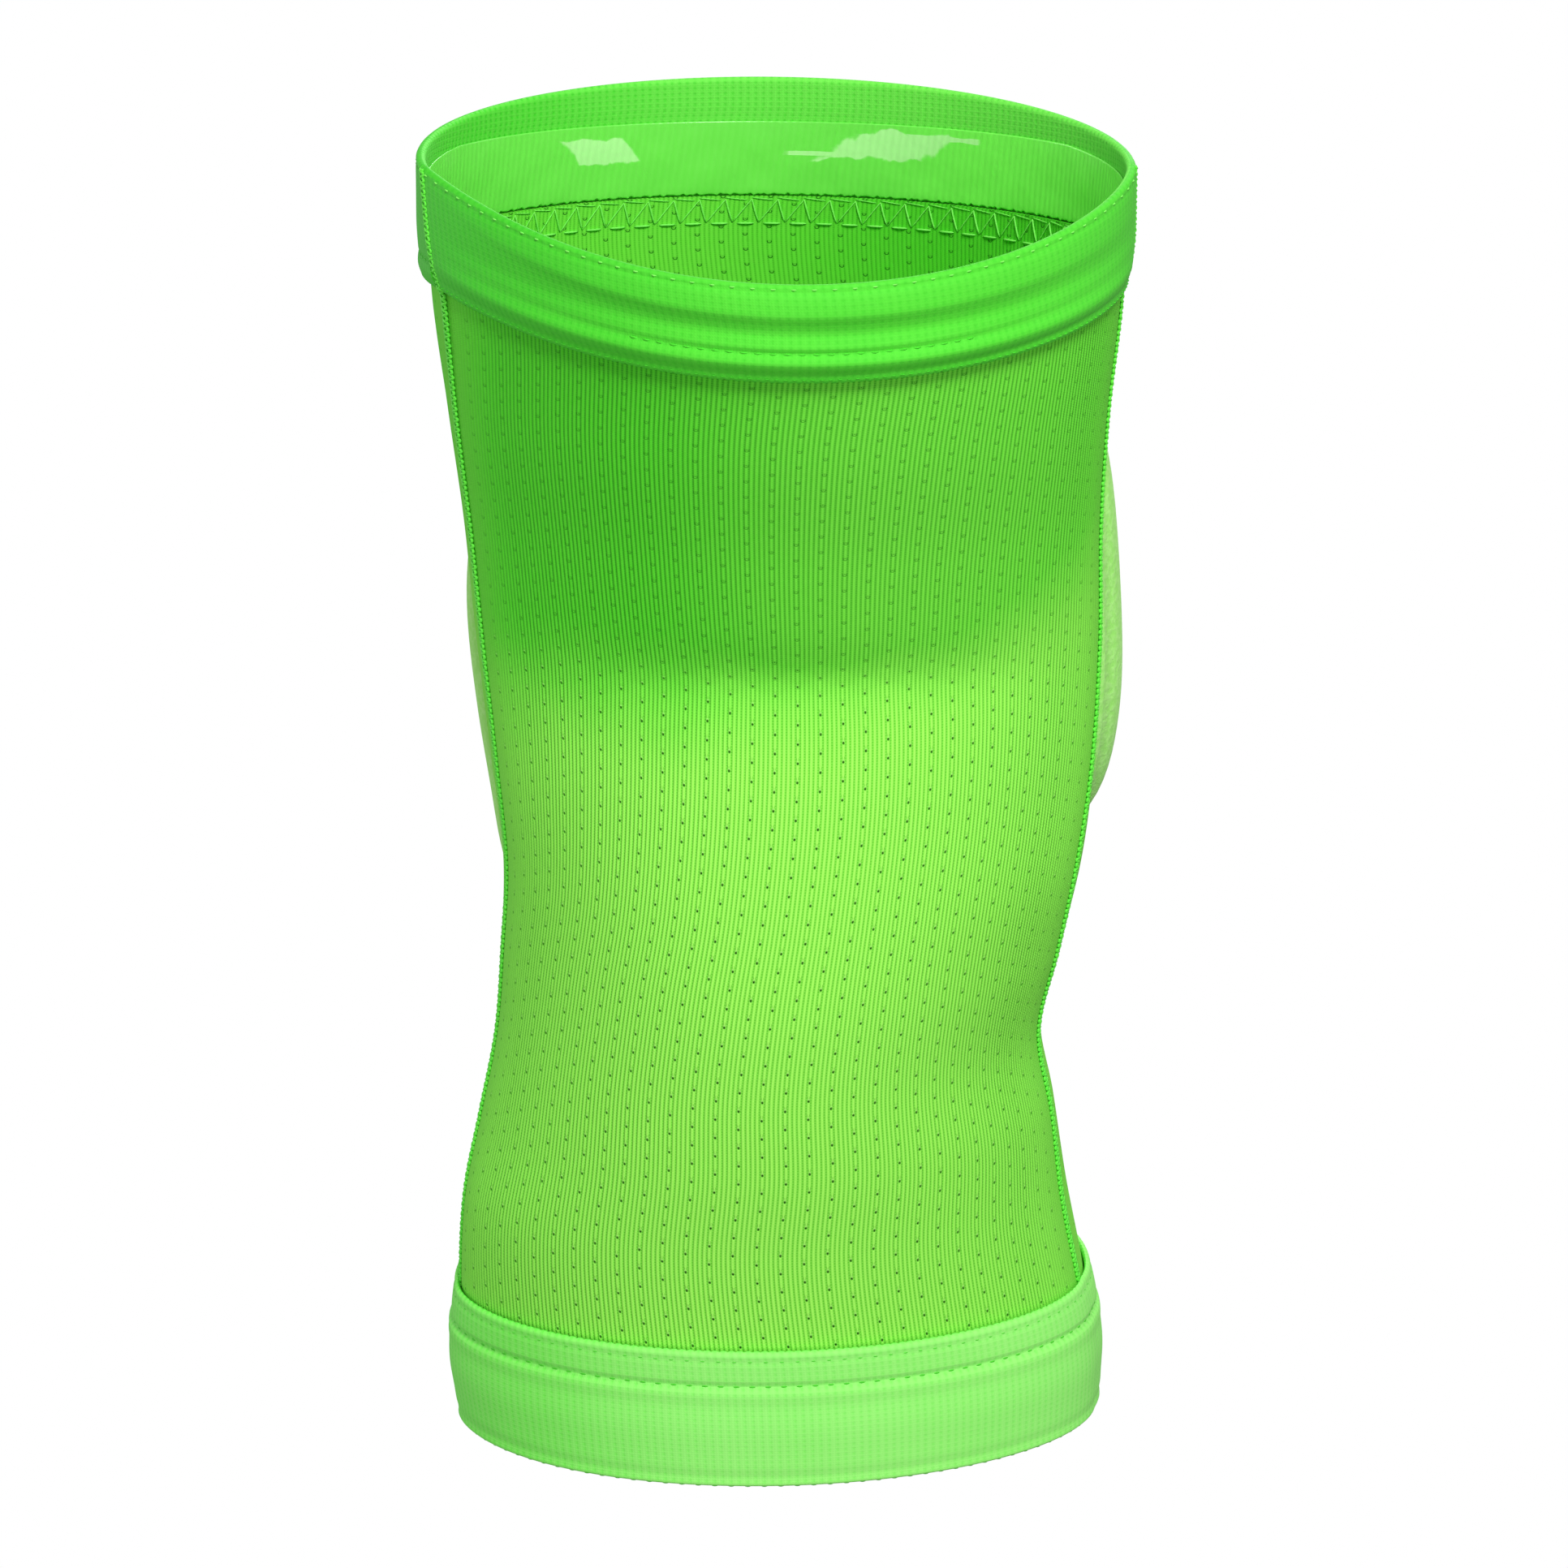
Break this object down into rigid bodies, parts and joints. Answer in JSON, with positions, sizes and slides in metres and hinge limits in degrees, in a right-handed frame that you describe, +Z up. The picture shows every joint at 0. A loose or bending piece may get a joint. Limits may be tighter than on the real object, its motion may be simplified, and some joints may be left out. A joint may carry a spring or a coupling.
{
  "type": "volleyball knee pad",
  "caption": "Knitted knee sleeve with elastic bands round the thigh and calf, side seams, a silicone grip strip and a cushion over the kneecap.",
  "frame": {"origin": "on the leg's axis inside the sleeve, level with the crease behind the knee", "axes": "+Z up the thigh, +Y towards the kneecap and the cushion, -Y towards the back of the knee, +X to the right when the sleeve is seen from behind"},
  "size_m": [0.1438, 0.1514, 0.272],
  "materials": {
    "rib_knit": "fine rib knit with rows of pin holes, neon green",
    "elastic": "woven and knitted elastic, neon green, slight sheen",
    "silicone": "clear glossy silicone over green elastic",
    "seam_thread": "overlocked loops of green thread",
    "pad_cover": "smooth brushed knit over foam, paler green"
  },
  "bodies": {
    "root": {"back_panel": "rib_knit", "front_panel": "rib_knit", "top_band_back": "elastic", "top_band_front": "elastic", "bottom_band_back": "elastic", "bottom_band_front": "elastic", "grip_strip_back": "silicone", "grip_strip_front": "silicone", "side_seam_left": "seam_thread", "side_seam_right": "seam_thread", "knee_pad": "pad_cover"}
  },
  "joints": []
}
